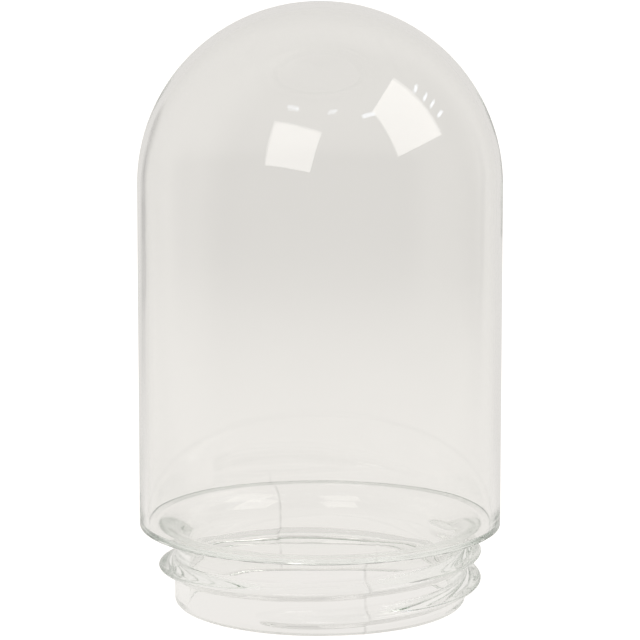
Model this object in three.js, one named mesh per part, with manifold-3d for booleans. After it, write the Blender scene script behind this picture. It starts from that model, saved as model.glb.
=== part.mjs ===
// Screw-in glass dome: a blown bell of clear glass with a round-topped body and a threaded neck.
// Units are millimetres and +Z is up. The origin is the centre of the rim, on the plane the dome
// stands on, and the dome's axis is +Z. The thread starts left of -Y and is right-handed.
import * as THREE from 'three';
import { mergeVertices } from 'three/addons/utils/BufferGeometryUtils.js';
import Module from 'manifold-3d';

// Thread: one start, right-handed, a rounded ridge that fades in and out of the neck wall
const THREAD_DIAMETER = 84.5; // over the crests
const THREAD_PITCH = 7.4;
const THREAD_DEPTH = 4.15; // crest to neck wall
const THREAD_WIDTH = 6.2; // of the ridge at the neck wall
const THREAD_START_ANGLE = -120; // degrees round from +X, where the ridge starts to rise
const THREAD_ABOVE_RIM = 1; // from the rim up to the ridge's lower flank at its start
const THREAD_TURNS = 1.45;
const THREAD_FADE_TURNS = 0.12; // length of the fade at each end

// Neck and rim
const NECK_WALL = 3.6;
const RIM_OUTER_ROUND = 1.6;
const RIM_INNER_ROUND = 0.8;

// Seat: the flat land under the shoulder that a gasket presses on
const SEAT_WIDTH = 3.6;
const SEAT_EDGE_ROUND = 0.35; // outer edge, where the seat meets the body
const SEAT_THREAD_CLEARANCE = 1; // crest radius to the seat's inner edge, so a gasket slips over
const SEAT_ABOVE_THREAD = 3.07; // from the ridge's upper flank at its end up to the seat

// Body
const BODY_STRAIGHT = 89.5; // from the seat to where the round top starts
const BODY_WALL = 1.8;
const SHOULDER_WALL = 1.3; // over the seat
const SHOULDER_ROUND = 0.3; // inside, where the body meets the shoulder
const BORE_ROUND = 7.2; // inside, where the shoulder turns down into the bore

// Facets
const SEGMENTS = 72; // round the axis
const CROWN_STEPS = 12; // in the quarter arc of the round top
const ROUND_STEPS = 3; // in each small round
const RIDGE_STEPS = 8; // across the ridge
const RIDGE_ROOT = 1; // how far the ridge reaches into the wall that it grows from
const RIDGE_SUNK = 0.3; // depth under the wall's surface where its flanks and its ends begin

const crestRadius = THREAD_DIAMETER / 2;
const neckRadius = crestRadius - THREAD_DEPTH;
const boreRadius = neckRadius - NECK_WALL;
const seatInnerRadius = crestRadius + SEAT_THREAD_CLEARANCE;
const bodyRadius = seatInnerRadius + SEAT_WIDTH + SEAT_EDGE_ROUND;
const bodyInnerRadius = bodyRadius - BODY_WALL;
const crestStartHeight = THREAD_ABOVE_RIM + THREAD_WIDTH / 2;
const crestEndHeight = crestStartHeight + THREAD_PITCH * THREAD_TURNS;
const seatHeight = crestEndHeight + THREAD_WIDTH / 2 + SEAT_ABOVE_THREAD;
const crownHeight = seatHeight + BODY_STRAIGHT;
const coveRadius = seatInnerRadius - neckRadius;
const coveHeight = seatHeight - coveRadius;
const floorHeight = seatHeight + SHOULDER_WALL;
const floorRadius = bodyInnerRadius - SHOULDER_ROUND;

const wasm = await Module();
wasm.setup();

// Points of an arc in the (radius, height) plane, its angles in quarter turns
function arc(centreRadius, centreHeight, arcRadius, from, to, steps) {
  const quarter = Math.PI / 2;
  const curve = new THREE.EllipseCurve(
    centreRadius, centreHeight, arcRadius, arcRadius, from * quarter, to * quarter, to < from);
  return curve.getPoints(steps);
}

// The half section of the glass, from the apex down the inside, round the rim and up the outside
function glassProfile() {
  const rimOuter = neckRadius - RIM_OUTER_ROUND;
  const rimInner = boreRadius + RIM_INNER_ROUND;
  const seatOuter = bodyRadius - SEAT_EDGE_ROUND;
  const inside = [
    arc(0, crownHeight, bodyInnerRadius, 1, 0, CROWN_STEPS),
    arc(floorRadius, floorHeight + SHOULDER_ROUND, SHOULDER_ROUND, 0, -1, ROUND_STEPS),
    arc(boreRadius + BORE_ROUND, floorHeight - BORE_ROUND, BORE_ROUND, 1, 2, ROUND_STEPS + 2),
    arc(rimInner, RIM_INNER_ROUND, RIM_INNER_ROUND, 2, 3, ROUND_STEPS),
  ];
  const outside = [
    arc(rimOuter, RIM_OUTER_ROUND, RIM_OUTER_ROUND, -1, 0, ROUND_STEPS),
    arc(seatInnerRadius, coveHeight, coveRadius, 2, 1, ROUND_STEPS),
    arc(seatOuter, seatHeight + SEAT_EDGE_ROUND, SEAT_EDGE_ROUND, -1, 0, ROUND_STEPS),
    arc(0, crownHeight, bodyRadius, 0, 1, CROWN_STEPS),
  ];
  const points = [...inside, ...outside].flat();
  points[0].x = 0;
  points[points.length - 1].x = 0;
  return points;
}

// A lathe turns about +Y, so it is tipped to stand on +Z
function turned(points) {
  return new THREE.LatheGeometry(points, SEGMENTS).rotateX(Math.PI / 2);
}

// How much of its full height the ridge has at a share of its length: 0 at the ends, 1 between
function fade(share) {
  const fromEnd = Math.min(share, 1 - share) * THREAD_TURNS / THREAD_FADE_TURNS;
  return Math.sin(Math.min(fromEnd, 1) * Math.PI / 2);
}

// The ridge's section, from its root inside the wall: flanks and crest are one raised cosine
function ridgeSection() {
  const section = new THREE.Shape();
  section.moveTo(0, -THREAD_WIDTH / 2);
  for (let i = 0; i <= RIDGE_STEPS; i += 1) {
    const across = i / RIDGE_STEPS;
    const rise = (RIDGE_SUNK + THREAD_DEPTH) * (1 - Math.cos(2 * Math.PI * across)) / 2;
    section.lineTo(RIDGE_ROOT - RIDGE_SUNK + rise, (across - 0.5) * THREAD_WIDTH);
  }
  section.lineTo(0, THREAD_WIDTH / 2);
  return section;
}

// The ridge is extruded straight, then wound round the neck, with its height scaled by the fade.
// It steps from facet to facet of the neck, so that the two meet cleanly.
function threadRidge() {
  const steps = Math.round(THREAD_TURNS * SEGMENTS);
  const geometry = new THREE.ExtrudeGeometry(ridgeSection(), { depth: 1, steps, bevelEnabled: false });
  const place = geometry.getAttribute('position');
  const lowest = (RIDGE_ROOT - RIDGE_SUNK) / (RIDGE_ROOT + THREAD_DEPTH);
  for (let i = 0; i < place.count; i += 1) {
    const share = 1 - place.getZ(i); // counted from its far end, which keeps its faces outwards
    const turns = share * steps / SEGMENTS;
    const scale = lowest + (1 - lowest) * fade(share);
    const angle = THREE.MathUtils.degToRad(THREAD_START_ANGLE) + 2 * Math.PI * turns;
    const radius = neckRadius - RIDGE_ROOT + place.getX(i) * scale;
    const height = crestStartHeight + THREAD_PITCH * turns + place.getY(i);
    place.setXYZ(i, radius * Math.cos(angle), radius * Math.sin(angle), height);
  }
  return geometry;
}

// A closed geometry as a manifold solid
function toSolid(geometry) {
  const bare = geometry.clone();
  bare.deleteAttribute('normal');
  bare.deleteAttribute('uv');
  const merged = mergeVertices(bare, 1e-4);
  const index = merged.getIndex().array;
  const triVerts = [];
  for (let i = 0; i < index.length; i += 3) {
    const [a, b, c] = index.slice(i, i + 3);
    if (a !== b && b !== c && c !== a) triVerts.push(a, b, c);
  }
  return new wasm.Manifold(new wasm.Mesh({
    numProp: 3,
    vertProperties: merged.getAttribute('position').array,
    triVerts: new Uint32Array(triVerts),
  }));
}

function toGeometry(solid) {
  const { vertProperties, triVerts } = solid.getMesh();
  const geometry = new THREE.BufferGeometry();
  geometry.setAttribute('position', new THREE.BufferAttribute(vertProperties, 3));
  geometry.setIndex(new THREE.BufferAttribute(triVerts, 1));
  geometry.computeVertexNormals();
  return geometry;
}

const clearGlass = new THREE.MeshStandardMaterial({
  name: 'clear_glass', color: 0xe9ece6, roughness: 0.03, metalness: 0, transparent: true, opacity: 0.35,
});

function glassDome() {
  const glass = toSolid(turned(glassProfile())).add(toSolid(threadRidge()));
  const mesh = new THREE.Mesh(toGeometry(glass), clearGlass);
  mesh.name = 'glass_dome';
  return mesh;
}

const dome = new THREE.Group();
dome.add(glassDome());
export default dome;
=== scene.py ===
"""Screw-in glass dome: the moulded glass made fine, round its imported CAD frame.

The dome is a surface of revolution with one thread wound round its neck, so a geometry-node tree turns
its outline and raises the thread, the mould seams and the slight waves of the wall. Everything is in
metres, +Z is up, the front is -Y, and the dome stands on z = 0 with its axis at x = y = 0.
"""
import math

import bpy
from bpy.props import FloatProperty, FloatVectorProperty, IntProperty, PointerProperty
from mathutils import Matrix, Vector


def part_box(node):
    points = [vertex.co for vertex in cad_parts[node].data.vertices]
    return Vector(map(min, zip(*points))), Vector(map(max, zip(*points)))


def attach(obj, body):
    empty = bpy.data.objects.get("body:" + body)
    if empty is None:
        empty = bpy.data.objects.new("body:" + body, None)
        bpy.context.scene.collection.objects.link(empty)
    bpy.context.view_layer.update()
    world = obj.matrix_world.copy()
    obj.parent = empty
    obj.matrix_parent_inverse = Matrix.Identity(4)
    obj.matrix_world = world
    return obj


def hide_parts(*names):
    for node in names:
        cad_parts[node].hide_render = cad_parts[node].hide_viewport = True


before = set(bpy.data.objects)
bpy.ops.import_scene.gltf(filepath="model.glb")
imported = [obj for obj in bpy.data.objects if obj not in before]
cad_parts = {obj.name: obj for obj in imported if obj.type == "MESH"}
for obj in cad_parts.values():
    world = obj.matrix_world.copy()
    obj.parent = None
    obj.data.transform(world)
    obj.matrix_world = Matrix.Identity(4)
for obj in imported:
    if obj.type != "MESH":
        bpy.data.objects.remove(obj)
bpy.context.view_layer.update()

bl_info = {
    "name": "Screw-in Glass Dome",
    "version": (1, 0, 0),
    "blender": (4, 5, 0),
    "location": "View3D > Sidebar > Glass Dome",
    "description": "Makes a clear moulded glass dome with a threaded neck, and a plain stage for it",
    "category": "Object",
}

MM = 0.001
GLASS_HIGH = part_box("glass_dome")[1]
MATH = "ShaderNodeMath"
VECTOR_MATH = "ShaderNodeVectorMath"


# ---------------------------------------------------------------- helpers

def linear(colour):
    """An sRGB hex colour as a linear RGBA tuple."""
    shares = [int(colour[i:i + 2], 16) / 255 for i in (1, 3, 5)]
    return tuple(c / 12.92 if c <= 0.04045 else ((c + 0.055) / 1.055) ** 2.4 for c in shares) + (1.0,)


def add(tree, kind, inputs=(), **attributes):
    """Adds a node, sets its attributes and its inputs, and returns it.

    inputs is a list of inputs in their order, or a dictionary of inputs by name. Each is an output socket,
    a node, which stands for its first output, or a plain value."""
    node = tree.nodes.new(kind)
    for name, value in attributes.items():
        setattr(node, name, value)
    for key, value in (inputs if isinstance(inputs, dict) else dict(enumerate(inputs))).items():
        if isinstance(value, bpy.types.Node):
            value = value.outputs[0]
        if isinstance(value, bpy.types.NodeSocket):
            tree.links.new(value, node.inputs[key])
        else:
            node.inputs[key].default_value = value
    return node


def length(name, description, default):
    """A size property in metres."""
    return FloatProperty(name=name, description=description, default=default, unit="LENGTH", precision=5)


def angle(name, description, degrees):
    """An angle property, given in degrees."""
    return FloatProperty(name=name, description=description, default=math.radians(degrees), subtype="ANGLE")


def colour(name, description, default):
    """A colour property, given as sRGB hex."""
    return FloatVectorProperty(name=name, description=description, default=linear(default), size=4,
                               subtype="COLOR", min=0, max=1)


def number(name, description, default):
    """A plain number property."""
    return FloatProperty(name=name, description=description, default=default)


def settings(name):
    return getattr(bpy.context.scene, name)


def properties_of(group):
    """The properties that a group of settings adds to the ones every group has."""
    return [p for p in group.bl_rna.properties if p.identifier not in ("rna_type", "name")]


def new_object(name, data):
    made = bpy.data.objects.new(name, data)
    bpy.context.scene.collection.objects.link(made)
    return made


# ---------------------------------------------------------------- sizes and colours

class DomeSizes(bpy.types.PropertyGroup):
    """The outline that is turned into the dome."""
    height: length("Height", "From the rim to the apex", GLASS_HIGH.z)
    body_radius: length("Body Radius", "Outside of the straight body", GLASS_HIGH.x)
    body_wall: length("Body Wall", "Thickness of the body and of the round top", 1.8 * MM)
    shoulder_wall: length("Shoulder Wall", "Thickness of the shoulder over the seat", 1.3 * MM)
    shoulder_round: length("Shoulder Round", "Inner round between the body and the shoulder", 0.3 * MM)
    inner_cove_round: length("Inner Cove Round", "Where the shoulder turns down into the bore", 7.2 * MM)
    seat_height: length("Seat Height", "From the rim up to the gasket seat", 21.0 * MM)
    seat_inner_radius: length("Seat Inner Radius", "Inner edge of the gasket seat", 43.25 * MM)
    seat_edge_round: length("Seat Edge Round", "Round where the seat meets the body", 0.35 * MM)
    neck_radius: length("Neck Radius", "Outside of the neck between the turns of its thread", 38.1 * MM)
    neck_wall: length("Neck Wall", "Thickness of the neck", 3.6 * MM)
    rim_outer_round: length("Rim Outer Round", "Round of the rim's outer edge", 1.6 * MM)
    rim_inner_round: length("Rim Inner Round", "Round of the rim's inner edge", 0.8 * MM)


class ThreadSizes(bpy.types.PropertyGroup):
    """The ridge that winds round the neck."""
    thread_pitch: length("Thread Pitch", "Climb of the ridge in one turn", 7.4 * MM)
    thread_depth: length("Thread Depth", "From the crest to the neck wall", 4.15 * MM)
    thread_width: length("Thread Width", "Of the ridge where it leaves the neck wall", 6.2 * MM)
    thread_fillet: length("Thread Fillet", "Softness of the corner between ridge and wall", 0.7 * MM)
    thread_start_height: length("Thread Start Height", "Of the crest at its start, above the rim", 4.1 * MM)
    thread_start_angle: angle("Thread Start Angle", "Where the ridge starts, round from +X", -120)
    thread_turns: number("Thread Turns", "Length of the ridge in turns", 1.45)
    thread_fade_turns: number("Thread Fade Turns", "Length of the fade at each end, in turns", 0.12)


class MouldMarks(bpy.types.PropertyGroup):
    """What the mould leaves on the glass, and the width of the painted shade line at the seat's outer edge.
    """
    seam_angle: angle("Seam Angle", "Where the first of the two seams stands, round from +X", -72.5)
    seam_height: length("Seam Height", "How far a seam stands proud of the neck", 0.12 * MM)
    seam_width: length("Seam Width", "Half width of a seam", 0.28 * MM)
    # Width of the painted shade line: a grey band at the seat's outer edge in place of the dark line that
    # edge shows.
    shade_line_width: length("Joint Width", "Of the line where the mould's body met its neck ring", 0.3 * MM)
    # Sets the scale on the seams against that painted shade line at the seat.
    seam_share: number("Seam Share", "How much scale the seams carry, against the joint at the seat", 0.3)
    seam_fade_height: length("Seam Fade Height", "Height where fire polish has melted the seams", 22.5 * MM)
    half_shift: length("Half Shift", "How far the thread stands up or down in either mould half", 0.12 * MM)
    inner_wave: length("Inner Wave", "Depth of the slow waves of the inner wall", 0.16 * MM)
    outer_wave: length("Outer Wave", "Depth of the slow waves of the outer wall", 0.03 * MM)
    wave_length: length("Wave Length", "Size of the slow waves", 38 * MM)
    wave_seed: number("Wave Seed", "Picks another set of waves", 3.0)


class Fineness(bpy.types.PropertyGroup):
    """How finely the glass is divided."""
    around: IntProperty(name="Around", description="Facets round the axis", default=376, min=24)
    seam_squeeze: number("Seam Squeeze", "How far the facets crowd towards the seams", 0.4)
    row_height: length("Row Height", "Of a row of facets on the body", 4.0 * MM)
    thread_row_height: length("Thread Row Height", "Of a row of facets under the thread", 0.33 * MM)


class GlassLook(bpy.types.PropertyGroup):
    """Colour and finish of the glass."""
    tint: colour("Tint", "Colour of light that has passed one surface", "#fdfdfc")
    edge_tint: colour("Edge Tint", "Colour that deep glass turns to", "#a6bdab")
    tint_per_metre: number("Tint per Metre", "How fast glass takes its edge tint with depth", 6.0)
    ior: number("IOR", "Index of refraction of soda-lime glass", 1.52)
    # This grey is painted shade along the seat's outer edge, and scale on the seams.
    shade_and_scale_colour: colour("Shade and Scale Colour", "Colour of the scale that the mould's joints leave", "#5c5d58")
    shade_and_scale_cover: number("Shade and Scale Cover", "How much of the glass the scale covers along the joints", 0.8)


class StageLook(bpy.types.PropertyGroup):
    """Camera, lights and floor."""
    camera_distance: length("Camera Distance", "From the camera to the point it looks at", 1.006)
    camera_elevation: angle("Camera Elevation", "How far the camera looks down", 10.33)
    camera_lens: number("Camera Lens", "Focal length in millimetres", 217.9)
    aim_height: length("Aim Height", "Of the point that the camera looks at", 74.9 * MM)
    floor_radius: length("Floor Radius", "Of the floor disc", 6.0)
    light_colour: colour("Light Colour", "Colour of the light all round", "#fffcf9")
    near_through: number("Near Through", "Brightness of the near floor seen through the glass", 0.875)
    far_through: number("Far Through", "Brightness of the surroundings seen through the glass", 0.80)
    doorway_glow: number("Doorway Glow", "Brightness of the dark doorway behind the dome", 0.5)
    high_through: number("High Through", "Brightness of the ceiling seen through the glass", 0.6)
    back_glow: number("Back Glow", "Brightness of the room behind the dome in reflections", 0.77)
    near_glow: number("Near Glow", "Brightness of the floor and the lit side in reflections", 0.92)
    dark_glow: number("Dark Glow", "Brightness of the unlit side of the room in reflections", 0.45)
    high_glow: number("High Glow", "Brightness of the ceiling in reflections", 0.6)
    direct_glow: number("Direct Glow", "Brightness of floor and surroundings seen directly", 1.2)
    dark_side: angle("Dark Side", "Middle of the unlit side, round from the front towards +X", 23)
    softbox_glow: number("Softbox Glow", "Brightness of the softboxes", 2.2)
    lamp_colour: colour("Lamp Colour", "Colour of the small ceiling lamps", "#e6efff")
    lamp_glow: number("Lamp Glow", "Brightness of the small ceiling lamps", 3.0)


# ---------------------------------------------------------------- materials

CHILL_WAVE = 14 * MM  # across
CHILL_DEPTH = 0.12 * MM
HAZE_PATCH = 30 * MM  # across
# Specks that break up the painted shade line at the seat and the scale on the seams.
SHADE_AND_SCALE_SPECK = 2.5 * MM  # long


def moulded_soda_lime_glass():
    """Clear soda-lime glass, blown in a two-part mould and fire-polished.

    The skin is glossy and nearly free of texture, so the eye reads it by its reflections and by how it
    bends what is behind it. The iron in it turns deep glass a faint green, which shows only in the thread,
    the shoulder and the rim. A thin, broken grey line along the outer edge of the seat is painted shade
    in place of the dark line that edge shows; fainter, the same grey lies on the seams as scale.
    """
    look = settings("glass_look")
    material = bpy.data.materials.new("moulded_soda_lime_glass")
    material.use_nodes = True
    tree = material.node_tree
    tree.nodes.clear()
    place = add(tree, "ShaderNodeTexCoord").outputs["Object"]

    # Chill waves from the mould, shallow and slow
    wave = add(tree, "ShaderNodeTexNoise", {"Vector": place, "Scale": 1 / CHILL_WAVE, "Detail": 1.0})
    waves = add(tree, "ShaderNodeBump", {"Height": wave, "Strength": 0.25, "Distance": CHILL_DEPTH})

    # A trace of handling haze, in patches
    haze = add(tree, "ShaderNodeTexNoise", {"Vector": place, "Scale": 1 / HAZE_PATCH, "Detail": 3.0})
    roughness = add(tree, "ShaderNodeMapRange",
                    {"Value": haze, "From Min": 0.45, "From Max": 0.8, "To Min": 0.0, "To Max": 0.02})

    glass = add(tree, "ShaderNodeBsdfPrincipled", {
        "Base Color": look.tint,
        "Transmission Weight": 1.0,
        "IOR": look.ior,
        "Roughness": roughness,
        "Normal": waves,
    })

    # Painted shade: a broken grey line along the seat's outer edge, in place of the dark line that edge
    # shows, and fainter scale on the seams
    specks = add(tree, "ShaderNodeTexNoise", {"Vector": place, "Scale": 1 / SHADE_AND_SCALE_SPECK, "Detail": 3.0})
    broken = add(tree, "ShaderNodeMapRange", {
        "Value": specks, "From Min": 0.38, "From Max": 0.62,
        "To Min": 0.2 * look.shade_and_scale_cover, "To Max": look.shade_and_scale_cover,
    })
    joint = add(tree, "ShaderNodeAttribute", attribute_name="joint_shade_and_scale").outputs["Fac"]
    shade_and_scale_mask = add(tree, MATH, (joint, broken), operation="MULTIPLY")
    shade_and_scale = add(tree, "ShaderNodeBsdfDiffuse", {"Color": look.shade_and_scale_colour})
    skin = add(tree, "ShaderNodeMixShader", (shade_and_scale_mask, glass, shade_and_scale))

    depth = add(tree, "ShaderNodeVolumeAbsorption",
                {"Color": look.edge_tint, "Density": look.tint_per_metre})
    add(tree, "ShaderNodeOutputMaterial", {"Surface": skin, "Volume": depth})
    return material


# Where the room changes from one brightness to the next: each pair is the start and the end of a change
FAR_GROUND = (0.2, 0.62)  # metres from the dome
UNLIT_SIDE = (-0.35, 0.15)  # cosine of the angle to the middle of the unlit side
MIRRORED_CEILING = (math.sin(math.radians(28)), math.sin(math.radians(58)))  # sine of the elevation
SEEN_CEILING = (math.sin(math.radians(15)), math.sin(math.radians(35)))  # the same, through the glass
BACK_WALL = (0.5, 0.85)  # how much of a unit direction points straight back
DOORWAY = (-0.54, 0.84, 0.05)  # towards a dark doorway behind the dome, on its left
DOORWAY_EDGE = (0.06, 0.11)  # between a unit direction and the one above


def studio_glow(tree, toward, out, up):
    """The brightness of the room in a direction, as a node, for the floor and the surroundings alike.

    toward is the unit direction, out the distance from the dome, and up how much of the direction points
    up. What the glass mirrors is the room: bright near the dome, dimmer behind it, and unlit where the
    softboxes stand. What is seen through the glass is an even, pale ground under a dimmer ceiling. Both
    show a dark doorway. What the camera sees directly is white."""
    look = settings("stage_look")
    path = add(tree, "ShaderNodeLightPath")
    away = add(tree, "ShaderNodeMapRange",
               {"Value": out, "From Min": FAR_GROUND[0], "From Max": FAR_GROUND[1]},
               interpolation_type="SMOOTHSTEP")

    # The room as the glass mirrors it
    dark_way = (math.sin(look.dark_side), -math.cos(look.dark_side), 0.0)
    facing = add(tree, VECTOR_MATH, (toward, dark_way), operation="DOT_PRODUCT").outputs["Value"]
    unlit = add(tree, "ShaderNodeMapRange",
                {"Value": facing, "From Min": UNLIT_SIDE[0], "From Max": UNLIT_SIDE[1]},
                interpolation_type="SMOOTHSTEP")
    overhead = add(tree, "ShaderNodeMapRange",
                   {"Value": up, "From Min": MIRRORED_CEILING[0], "From Max": MIRRORED_CEILING[1]},
                   interpolation_type="SMOOTHSTEP")
    side = add(tree, "ShaderNodeMix", {"Factor": overhead, "A": look.dark_glow, "B": look.high_glow})
    dark = add(tree, MATH, (unlit, away), operation="MULTIPLY")
    around = add(tree, "ShaderNodeMix", {"Factor": dark, "A": look.near_glow, "B": side})
    rearward = add(tree, "ShaderNodeSeparateXYZ", [toward]).outputs["Y"]
    behind = add(tree, "ShaderNodeMapRange",
                 {"Value": rearward, "From Min": BACK_WALL[0], "From Max": BACK_WALL[1]},
                 interpolation_type="SMOOTHSTEP")
    mirrored = add(tree, "ShaderNodeMix", {"Factor": behind, "A": around, "B": look.back_glow})

    # The room as it is seen through the glass
    ground = add(tree, "ShaderNodeMix", {"Factor": away, "A": look.near_through, "B": look.far_through})
    above = add(tree, "ShaderNodeMapRange",
                {"Value": up, "From Min": SEEN_CEILING[0], "From Max": SEEN_CEILING[1]},
                interpolation_type="SMOOTHSTEP")
    through = add(tree, "ShaderNodeMix", {"Factor": above, "A": ground, "B": look.high_through})
    is_mirrored = add(tree, MATH, (path.outputs["Glossy Depth"], 0.5), operation="GREATER_THAN")
    room = add(tree, "ShaderNodeMix", {"Factor": is_mirrored, "A": through, "B": mirrored})

    # The doorway, which both show
    off_doorway = add(tree, VECTOR_MATH, (toward, DOORWAY), operation="DISTANCE").outputs["Value"]
    in_doorway = add(tree, "ShaderNodeMapRange", {
        "Value": off_doorway, "From Min": DOORWAY_EDGE[0], "From Max": DOORWAY_EDGE[1],
        "To Min": 1.0, "To Max": 0.0,
    })
    doorway = add(tree, MATH, (in_doorway, away), operation="MULTIPLY")
    indirect = add(tree, "ShaderNodeMix", {"Factor": doorway, "A": room, "B": look.doorway_glow})
    direct = path.outputs["Is Camera Ray"]
    return add(tree, "ShaderNodeMix", {"Factor": direct, "A": indirect, "B": look.direct_glow})


def lit_acrylic_sheet():
    """Opal acrylic sheet lit from below, the usual ground for clear glass.

    It is shadowless and white where it is seen directly; to the glass it glows with the room's light and
    shade painted in, dimmer far off, on the unlit side and in the doorway."""
    look = settings("stage_look")
    material = bpy.data.materials.new("lit_acrylic_sheet")
    material.use_nodes = True
    tree = material.node_tree
    tree.nodes.clear()
    place = add(tree, "ShaderNodeTexCoord").outputs["Object"]
    out = add(tree, VECTOR_MATH, [place], operation="LENGTH").outputs["Value"]
    toward = add(tree, VECTOR_MATH, [place], operation="NORMALIZE")
    glow = studio_glow(tree, toward, out, 0.0)
    lit = add(tree, "ShaderNodeEmission", {"Color": look.light_colour, "Strength": glow})
    add(tree, "ShaderNodeOutputMaterial", {"Surface": lit})
    return material


# ---------------------------------------------------------------- the glass

CROWN_STEPS = 32  # in each quarter arc of the round top
COVE_STEPS = 24  # in each arc where the shoulder turns down into the neck
ROUND_STEPS = 6  # in each small round
MERGE_DISTANCE = 1e-6
SEAT_MARGIN = 0.1 * MM  # the fine rows end this far under the seat
INNER_WAVE_SHIFT = 10.0  # sets the waves of the outer wall apart from those of the inner


def dome_outline(tree, size):
    """The half section of the glass as one curve: x is the radius and y the height.

    It runs from the apex down the inside, round the rim and up the outside, and its corners are rounded.
    Its points carry an attribute, outside, which is 0 on the inner wall and 1 on the outer."""
    inner_radius = add(tree, MATH, (size["Body Radius"], size["Body Wall"]), operation="SUBTRACT")
    bore_radius = add(tree, MATH, (size["Neck Radius"], size["Neck Wall"]), operation="SUBTRACT")
    inner_top = add(tree, MATH, (size["Height"], size["Body Wall"]), operation="SUBTRACT")
    floor = add(tree, MATH, (size["Seat Height"], size["Shoulder Wall"]), operation="ADD")
    cove = add(tree, MATH, (size["Seat Inner Radius"], size["Neck Radius"]), operation="SUBTRACT")
    corners = (  # radius, height, round
        (0.0, inner_top, 0.0),
        (inner_radius, inner_top, inner_radius),
        (inner_radius, floor, size["Shoulder Round"]),
        (bore_radius, floor, size["Inner Cove Round"]),
        (bore_radius, 0.0, size["Rim Inner Round"]),
        (size["Neck Radius"], 0.0, size["Rim Outer Round"]),
        (size["Neck Radius"], size["Seat Height"], cove),
        (size["Body Radius"], size["Seat Height"], size["Seat Edge Round"]),
        (size["Body Radius"], size["Height"], size["Body Radius"]),
        (0.0, size["Height"], 0.0),
    )
    first_outside = 5
    crown_rounds = (1, 8)
    cove_rounds = (3, 6)

    index = add(tree, "GeometryNodeInputIndex")
    place = add(tree, "GeometryNodeIndexSwitch", {"Index": index}, data_type="VECTOR")
    rounds = add(tree, "GeometryNodeIndexSwitch", {"Index": index}, data_type="FLOAT")
    steps = add(tree, "GeometryNodeIndexSwitch", {"Index": index}, data_type="INT")
    for switch in (place, rounds, steps):
        while len(switch.index_switch_items) < len(corners):
            switch.index_switch_items.new()
    for item, (radius, height, corner_round) in enumerate(corners):
        corner = add(tree, "ShaderNodeCombineXYZ", (radius, height))
        tree.links.new(corner.outputs[0], place.inputs[item + 1])
        if corner_round:
            corner_round = getattr(corner_round, "outputs", [corner_round])[0]
            tree.links.new(corner_round, rounds.inputs[item + 1])
        steps.inputs[item + 1].default_value = (
            CROWN_STEPS if item in crown_rounds else COVE_STEPS if item in cove_rounds else ROUND_STEPS)

    line = add(tree, "GeometryNodeMeshLine", {"Count": len(corners)})
    curve = add(tree, "GeometryNodeMeshToCurve", {"Mesh": line})
    placed = add(tree, "GeometryNodeSetPosition", {"Geometry": curve, "Position": place})
    is_outside = add(tree, "FunctionNodeCompare", {"A": index, "B": first_outside},
                     data_type="INT", operation="GREATER_EQUAL")
    marked = add(tree, "GeometryNodeStoreNamedAttribute",
                 {"Geometry": placed, "Name": "outside", "Value": is_outside}, data_type="FLOAT")
    rounded = add(tree, "GeometryNodeFilletCurve",
                  {"Curve": marked, "Count": steps, "Radius": rounds}, mode="POLY")

    # Straight stretches get rows: fine ones on the outside of the neck, where the thread is raised
    position = add(tree, "GeometryNodeInputPosition")
    after = add(tree, MATH, (index, 1.0), operation="ADD")
    next_position = add(tree, "GeometryNodeFieldAtIndex", {"Index": after, "Value": position},
                        data_type="FLOAT_VECTOR")
    stretch = add(tree, VECTOR_MATH, (position, next_position), operation="DISTANCE").outputs["Value"]
    height = add(tree, "ShaderNodeSeparateXYZ", [position]).outputs["Y"]
    outside = add(tree, "GeometryNodeInputNamedAttribute", {"Name": "outside"}, data_type="FLOAT")
    seat_edge = add(tree, MATH, (size["Seat Height"], SEAT_MARGIN), operation="SUBTRACT")
    under_seat = add(tree, MATH, (height, seat_edge), operation="LESS_THAN")
    on_neck = add(tree, MATH, (under_seat, outside), operation="MULTIPLY")
    row = add(tree, "ShaderNodeMix",
              {"Factor": on_neck, "A": size["Row Height"], "B": size["Thread Row Height"]})
    cuts = add(tree, MATH, (stretch, row), operation="DIVIDE")
    return add(tree, "GeometryNodeSubdivideCurve", {"Curve": rounded, "Cuts": cuts})


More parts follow.
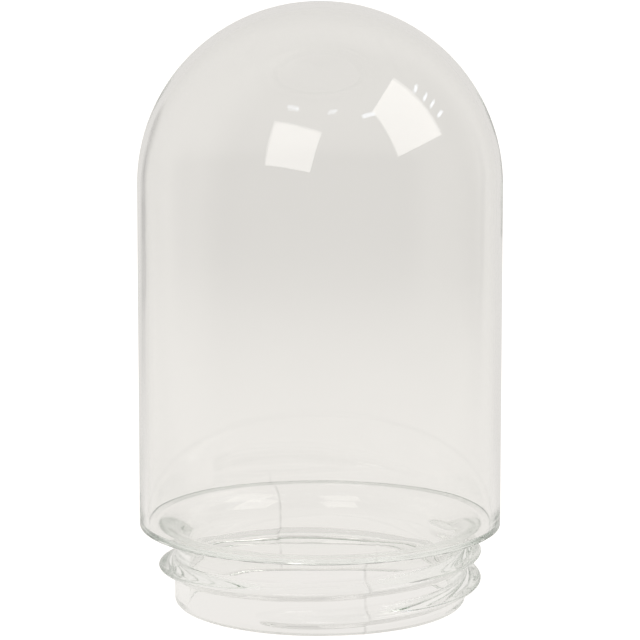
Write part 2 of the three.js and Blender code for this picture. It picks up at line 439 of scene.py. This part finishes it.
def thread_lift(tree, size, turned, radius, height, half):
    """How far the thread stands out from the wall at a point, in metres.

    The nearest turn of the crest is found, and the ridge is a raised cosine of the height above or below
    it. A smooth maximum with zero gives the corner between ridge and wall its fillet. half is 1 in one half
    of the mould and -1 in the other."""
    # How many turns along the ridge the nearest crest lies, and how far above or below it the point is
    from_start = add(tree, MATH, (turned, size["Thread Start Angle"]), operation="SUBTRACT")
    in_turns = add(tree, MATH, (from_start, math.tau), operation="DIVIDE")
    share = add(tree, MATH, [in_turns], operation="FRACT")
    start_height = add(tree, MATH, (half, size["Half Shift"], size["Thread Start Height"]),
                       operation="MULTIPLY_ADD")
    climb = add(tree, MATH, (height, start_height), operation="SUBTRACT")
    climbed = add(tree, MATH, (climb, size["Thread Pitch"]), operation="DIVIDE")
    past_share = add(tree, MATH, (climbed, share), operation="SUBTRACT")
    whole = add(tree, MATH, [past_share], operation="ROUND")
    turns = add(tree, MATH, (share, whole), operation="ADD")
    crest = add(tree, MATH, (turns, size["Thread Pitch"]), operation="MULTIPLY")
    over_crest = add(tree, MATH, (climb, crest), operation="SUBTRACT")
    away = add(tree, MATH, [over_crest], operation="ABSOLUTE")

    # The ridge across its width
    half_width = add(tree, MATH, (size["Thread Width"], 0.5), operation="MULTIPLY")
    across = add(tree, MATH, (away, half_width), operation="DIVIDE")
    inside = add(tree, MATH, (across, 1.0), operation="MINIMUM")
    swept = add(tree, MATH, (inside, math.pi), operation="MULTIPLY")
    cosine = add(tree, MATH, [swept], operation="COSINE")
    shape = add(tree, MATH, (cosine, 0.5, 0.5), operation="MULTIPLY_ADD")

    # The fade at both ends
    to_end = add(tree, MATH, (size["Thread Turns"], turns), operation="SUBTRACT")
    from_end = add(tree, MATH, (turns, to_end), operation="MINIMUM")
    faded = add(tree, MATH, (from_end, size["Thread Fade Turns"]), operation="DIVIDE", use_clamp=True)
    fade_angle = add(tree, MATH, (faded, math.pi / 2), operation="MULTIPLY")
    fade = add(tree, MATH, [fade_angle], operation="SINE")

    full = add(tree, MATH, (size["Thread Depth"], size["Thread Fillet"]), operation="ADD")
    crest_lift = add(tree, MATH, (full, fade), operation="MULTIPLY")
    ridge = add(tree, MATH, (crest_lift, shape), operation="MULTIPLY")
    sunk = add(tree, MATH, (ridge, size["Thread Fillet"]), operation="SUBTRACT")
    beyond_neck = add(tree, MATH, (radius, size["Neck Radius"]), operation="SUBTRACT")
    wall_out = add(tree, MATH, (beyond_neck, 0.0), operation="MAXIMUM")
    proud = add(tree, MATH, (sunk, wall_out), operation="SUBTRACT")
    return add(tree, MATH, (proud, 0.0, size["Thread Fillet"]), operation="SMOOTH_MAX")


def mould_joints(tree, size, from_seam, radius, height):
    """How much a point belongs to the mould's joints, from 0 to 1.

    The first value is for the two upright seams, on opposite sides of the neck, and the second for the
    round joint at the outer edge of the seat."""
    # The second value marks where the material paints a grey line of shade at the seat's outer edge.
    turned = add(tree, MATH, (from_seam, math.pi / 2, -math.pi / 2), operation="WRAP")
    arc = add(tree, MATH, (turned, radius), operation="MULTIPLY")
    steps_off = add(tree, MATH, (arc, size["Seam Width"]), operation="DIVIDE")
    squared = add(tree, MATH, (steps_off, 2.0), operation="POWER")
    falling = add(tree, MATH, (squared, -1.0), operation="MULTIPLY")
    bell = add(tree, MATH, [falling], operation="EXPONENT")
    kept = add(tree, "ShaderNodeMapRange", {
        "Value": height, "From Min": size["Seat Height"], "From Max": size["Seam Fade Height"],
        "To Min": 1.0, "To Max": 0.0,
    }, interpolation_type="SMOOTHSTEP")
    seam = add(tree, MATH, (bell, kept), operation="MULTIPLY")
    place = add(tree, "ShaderNodeCombineXYZ", (radius, height))
    corner = add(tree, "ShaderNodeCombineXYZ", (size["Body Radius"], size["Seat Height"]))
    from_corner = add(tree, VECTOR_MATH, (place, corner), operation="DISTANCE").outputs["Value"]
    inner_edge = add(tree, MATH, (size["Joint Width"], 0.5), operation="MULTIPLY")
    joint = add(tree, "ShaderNodeMapRange", {
        "Value": from_corner, "From Min": inner_edge, "From Max": size["Joint Width"],
        "To Min": 1.0, "To Max": 0.0,
    })
    return seam, joint


def wall_wave(tree, size, round_place, radius, outside):
    """How far the slow waves shift the wall at a point, in metres. They end before the apex."""
    fineness = add(tree, MATH, (1.0, size["Wave Length"]), operation="DIVIDE")
    seed = add(tree, MATH, (outside, INNER_WAVE_SHIFT, size["Wave Seed"]), operation="MULTIPLY_ADD")
    noise = add(tree, "ShaderNodeTexNoise",
                {"Vector": round_place, "W": seed, "Scale": fineness, "Detail": 1.0}, noise_dimensions="4D")
    depth = add(tree, "ShaderNodeMix",
                {"Factor": outside, "A": size["Inner Wave"], "B": size["Outer Wave"]})
    swing = add(tree, MATH, (noise, 2.0, -1.0), operation="MULTIPLY_ADD")
    off_apex = add(tree, MATH, (radius, size["Neck Radius"]), operation="DIVIDE", use_clamp=True)
    kept = add(tree, MATH, (depth, off_apex), operation="MULTIPLY")
    return add(tree, MATH, (swing, kept), operation="MULTIPLY")


def glass_tree(groups):
    """The node tree that makes the glass. Each size in groups is one of its named inputs."""
    tree = bpy.data.node_groups.new("moulded_glass", "GeometryNodeTree")
    socket_types = {"FLOAT": "NodeSocketFloat", "INT": "NodeSocketInt"}
    for group in groups:
        for prop in properties_of(group):
            tree.interface.new_socket(prop.name, in_out="INPUT", socket_type=socket_types[prop.type])
    tree.interface.new_socket("Material", in_out="INPUT", socket_type="NodeSocketMaterial")
    tree.interface.new_socket("Geometry", in_out="OUTPUT", socket_type="NodeSocketGeometry")
    size = add(tree, "NodeGroupInput").outputs

    # A grid with one column for each step round the axis and one row for each point of the outline
    outline = dome_outline(tree, size)
    counted_points = add(tree, "GeometryNodeAttributeDomainSize", {"Geometry": outline}, component="CURVE")
    rows = counted_points.outputs["Point Count"]
    columns = add(tree, MATH, (size["Around"], 1.0), operation="ADD")
    grid = add(tree, "GeometryNodeMeshGrid", {"Vertices X": columns, "Vertices Y": rows}).outputs["Mesh"]
    index = add(tree, "GeometryNodeInputIndex")
    mid_index = add(tree, MATH, (index, 0.5), operation="ADD")
    counted = add(tree, MATH, (mid_index, rows), operation="DIVIDE")
    column = add(tree, MATH, [counted], operation="FLOOR")
    before = add(tree, MATH, (column, rows), operation="MULTIPLY")
    row = add(tree, MATH, (index, before), operation="SUBTRACT")

    # Each column's angle, crowded towards the two seams so that they are drawn finely
    share = add(tree, MATH, (column, size["Around"]), operation="DIVIDE")
    even = add(tree, MATH, (share, math.tau), operation="MULTIPLY")
    from_seam = add(tree, MATH, (even, size["Seam Angle"]), operation="SUBTRACT")
    twice = add(tree, MATH, (from_seam, 2.0), operation="MULTIPLY")
    squeeze = add(tree, MATH, (size["Seam Squeeze"], -0.5), operation="MULTIPLY")
    crowding = add(tree, MATH, [twice], operation="SINE")
    turned = add(tree, MATH, (crowding, squeeze, even), operation="MULTIPLY_ADD")
    from_seam = add(tree, MATH, (turned, size["Seam Angle"]), operation="SUBTRACT")

    # Each row's radius and height, from the outline
    outline_position = add(tree, "GeometryNodeInputPosition")
    on_outline = add(tree, "GeometryNodeSampleIndex",
                     {"Geometry": outline, "Value": outline_position, "Index": row},
                     data_type="FLOAT_VECTOR", domain="POINT")
    outside_value = add(tree, "GeometryNodeInputNamedAttribute", {"Name": "outside"}, data_type="FLOAT")
    outside = add(tree, "GeometryNodeSampleIndex",
                  {"Geometry": outline, "Value": outside_value, "Index": row},
                  data_type="FLOAT", domain="POINT")
    radius, height, _ = add(tree, "ShaderNodeSeparateXYZ", [on_outline]).outputs
    cosine = add(tree, MATH, [turned], operation="COSINE")
    sine = add(tree, MATH, [turned], operation="SINE")
    round_x = add(tree, MATH, (radius, cosine), operation="MULTIPLY")
    round_y = add(tree, MATH, (radius, sine), operation="MULTIPLY")
    round_place = add(tree, "ShaderNodeCombineXYZ", (round_x, round_y, height))

    # The thread, with one mould half a touch above the other, the seams and the waves
    seam_sine = add(tree, MATH, [from_seam], operation="SINE")
    half = add(tree, MATH, [seam_sine], operation="SIGN")
    thread = thread_lift(tree, size, turned, radius, height, half)
    seam, joint = mould_joints(tree, size, from_seam, radius, height)
    raised = add(tree, MATH, (seam, size["Seam Height"], thread), operation="MULTIPLY_ADD")
    wave = wall_wave(tree, size, round_place, radius, outside)
    lift = add(tree, MATH, (raised, outside, wave), operation="MULTIPLY_ADD")
    out = add(tree, MATH, (radius, lift), operation="ADD")
    out_x = add(tree, MATH, (out, cosine), operation="MULTIPLY")
    out_y = add(tree, MATH, (out, sine), operation="MULTIPLY")
    surface = add(tree, "ShaderNodeCombineXYZ", (out_x, out_y, height))

    # Where the material paints its grey: painted shade along the seat's outer edge and scale on the seams
    on_seam = add(tree, MATH, (seam, size["Seam Share"]), operation="MULTIPLY")
    either = add(tree, MATH, (on_seam, joint), operation="MAXIMUM")
    shade_and_scale_mark = add(tree, MATH, (either, outside), operation="MULTIPLY")
    marked = add(tree, "GeometryNodeStoreNamedAttribute",
                 {"Geometry": grid, "Name": "joint_shade_and_scale", "Value": shade_and_scale_mark},
                 data_type="FLOAT", domain="POINT")
    wrapped = add(tree, "GeometryNodeSetPosition", {"Geometry": marked, "Position": surface})
    closed = add(tree, "GeometryNodeMergeByDistance", {"Geometry": wrapped, "Distance": MERGE_DISTANCE})
    smooth = add(tree, "GeometryNodeSetShadeSmooth", {"Geometry": closed})
    real = add(tree, "GeometryNodeRealizeInstances", {"Geometry": smooth})
    finished = add(tree, "GeometryNodeSetMaterial", {"Geometry": real, "Material": size["Material"]})
    add(tree, "NodeGroupOutput", {"Geometry": finished})
    return tree


class DOME_OT_make_glass(bpy.types.Operator):
    """Makes the moulded glass and lets it stand for the CAD dome"""
    bl_idname = "dome.make_glass"
    bl_label = "Make Moulded Glass"

    def execute(self, context):
        groups = [settings(name) for name in ("dome_sizes", "thread_sizes", "mould_marks", "fineness")]
        values = {prop.name: getattr(group, prop.identifier)
                  for group in groups for prop in properties_of(group)}
        values["Material"] = moulded_soda_lime_glass()
        tree = glass_tree(groups)
        carrier = new_object("carrier", bpy.data.meshes.new("carrier"))
        modifier = carrier.modifiers.new("moulded_glass", "NODES")
        modifier.node_group = tree
        for item in tree.interface.items_tree:
            if item.in_out == "INPUT":
                modifier[item.identifier] = values[item.name]
        evaluated = carrier.evaluated_get(context.evaluated_depsgraph_get())
        mesh = bpy.data.meshes.new_from_object(evaluated)
        bpy.data.objects.remove(carrier)
        if not mesh.polygons:
            raise RuntimeError("the node tree made no glass")
        mesh.name = "moulded_glass"
        glass = new_object("moulded_glass", mesh)
        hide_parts("glass_dome")
        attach(glass, "root")
        return {"FINISHED"}


# ---------------------------------------------------------------- the stage

SENSOR_WIDTH = 36.0  # millimetres
CAMERA_CLIP = 0.05
FLOOR_SIDES = 64
LIGHT_BOUNCES = 256  # light is piped a long way inside the wall
LAMP_CENTRE = Vector((0, 0, 0.13))  # the small lamps stand on a unit sphere round this point

# The two softboxes in front of the dome, one at each hand: name, place, turn, tilt, roll, width, height
SOFTBOXES = (
    ("left_softbox", (-0.285, -0.822, 0.619), -22.5, 34.4, -4.9, 0.525, 0.483),
    ("right_softbox", (0.720, -0.274, 0.763), 90.1, 14.9, -4.0, 0.635, 0.624),
)
# Three small ceiling lamps and the four slats of a louvred one: name, azimuth, elevation, width, height
CEILING_LAMPS = (
    ("left_lamp", -26, 54, 0.12, 0.035),
    ("middle_lamp", 12, 52.5, 0.09, 0.03),
    ("right_lamp", 43, 46.5, 0.14, 0.04),
    ("slat_1", 101, 43.2, 0.11, 0.025),
    ("slat_2", 101, 37.7, 0.11, 0.02),
    ("slat_3", 101, 33.4, 0.11, 0.02),
    ("slat_4", 101, 28.1, 0.11, 0.025),
)


def softbox(name, place, turn, tilt, roll, width, height, glow, tint):
    """A rectangular area light, hidden from the camera, so that it shows only as a reflection and as light.

    turn is counted from the front towards +X, tilt is how far it looks down and roll turns it about its own
    axis, all in degrees."""
    light = bpy.data.lights.new(name, "AREA")
    light.shape = "RECTANGLE"
    light.size = width
    light.size_y = height
    light.energy = glow * math.pi * width * height
    light.color = tint[:3]
    lamp = new_object(name, light)
    lamp.location = place
    lamp.rotation_euler = (math.radians(90 - tilt), 0, math.radians(turn))
    lamp.rotation_euler.rotate_axis("Z", math.radians(roll))
    lamp.visible_camera = False


def direction(azimuth, elevation):
    """A unit vector. The azimuth is counted from the front towards +X, and both angles are in degrees."""
    azimuth, elevation = math.radians(azimuth), math.radians(elevation)
    return Vector((math.sin(azimuth) * math.cos(elevation), -math.cos(azimuth) * math.cos(elevation),
                   math.sin(elevation)))


class DOME_OT_make_stage(bpy.types.Operator):
    """Makes the floor, the studio light and the camera"""
    bl_idname = "dome.make_stage"
    bl_label = "Make Stage"

    def execute(self, context):
        look = settings("stage_look")
        scene = context.scene
        scene.view_settings.view_transform = "Standard"
        scene.cycles.max_bounces = LIGHT_BOUNCES
        scene.cycles.glossy_bounces = LIGHT_BOUNCES
        scene.cycles.transmission_bounces = LIGHT_BOUNCES

        camera_data = bpy.data.cameras.new("camera")
        camera_data.lens = look.camera_lens
        camera_data.sensor_width = SENSOR_WIDTH
        camera_data.clip_start = CAMERA_CLIP
        camera = new_object("camera", camera_data)
        aim = Vector((0, 0, look.aim_height))
        back = direction(0, math.degrees(look.camera_elevation))
        camera.location = aim + back * look.camera_distance
        camera.rotation_euler = (-back).to_track_quat("-Z", "Y").to_euler()
        scene.camera = camera

        floor_mesh = bpy.data.meshes.new("floor")
        corners = [direction(360 * i / FLOOR_SIDES, 0) * look.floor_radius for i in range(FLOOR_SIDES)]
        floor_mesh.from_pydata(corners, [], [range(FLOOR_SIDES)])
        floor_mesh.materials.append(lit_acrylic_sheet())
        new_object("floor", floor_mesh)

        world = bpy.data.worlds.new("studio")
        world.use_nodes = True
        tree = world.node_tree
        tree.nodes.clear()
        toward = add(tree, "ShaderNodeTexCoord").outputs["Generated"]
        up = add(tree, "ShaderNodeSeparateXYZ", [toward]).outputs["Z"]
        glow = studio_glow(tree, toward, look.floor_radius, up)
        sky = add(tree, "ShaderNodeBackground", {"Color": look.light_colour, "Strength": glow})
        add(tree, "ShaderNodeOutputWorld", {"Surface": sky})
        scene.world = world

        for name, place, turn, tilt, roll, width, height in SOFTBOXES:
            softbox(name, place, turn, tilt, roll, width, height, look.softbox_glow, look.light_colour)
        for name, azimuth, elevation, width, height in CEILING_LAMPS:
            place = LAMP_CENTRE + direction(azimuth, elevation)
            softbox(name, place, azimuth, elevation, 0, width, height, look.lamp_glow, look.lamp_colour)
        return {"FINISHED"}


class DOME_PT_panel(bpy.types.Panel):
    """Shows the settings of the glass and the stage, and the buttons that make them"""
    bl_idname = "DOME_PT_panel"
    bl_label = "Glass Dome"
    bl_space_type = "VIEW_3D"
    bl_region_type = "UI"
    bl_category = "Glass Dome"

    def draw(self, context):
        for name in SETTINGS:
            box = self.layout.box()
            for prop in properties_of(settings(name)):
                box.prop(settings(name), prop.identifier)
        self.layout.operator(DOME_OT_make_stage.bl_idname)
        self.layout.operator(DOME_OT_make_glass.bl_idname)


SETTINGS = {
    "dome_sizes": DomeSizes,
    "thread_sizes": ThreadSizes,
    "mould_marks": MouldMarks,
    "fineness": Fineness,
    "glass_look": GlassLook,
    "stage_look": StageLook,
}
CLASSES = (*SETTINGS.values(), DOME_OT_make_stage, DOME_OT_make_glass, DOME_PT_panel)


def register():
    for cls in CLASSES:
        bpy.utils.register_class(cls)
    for name, group in SETTINGS.items():
        setattr(bpy.types.Scene, name, PointerProperty(type=group))


def unregister():
    for name in SETTINGS:
        delattr(bpy.types.Scene, name)
    for cls in reversed(CLASSES):
        bpy.utils.unregister_class(cls)


def main():
    register()
    bpy.ops.dome.make_stage()
    bpy.ops.dome.make_glass()


if __name__ == "__main__":
    main()
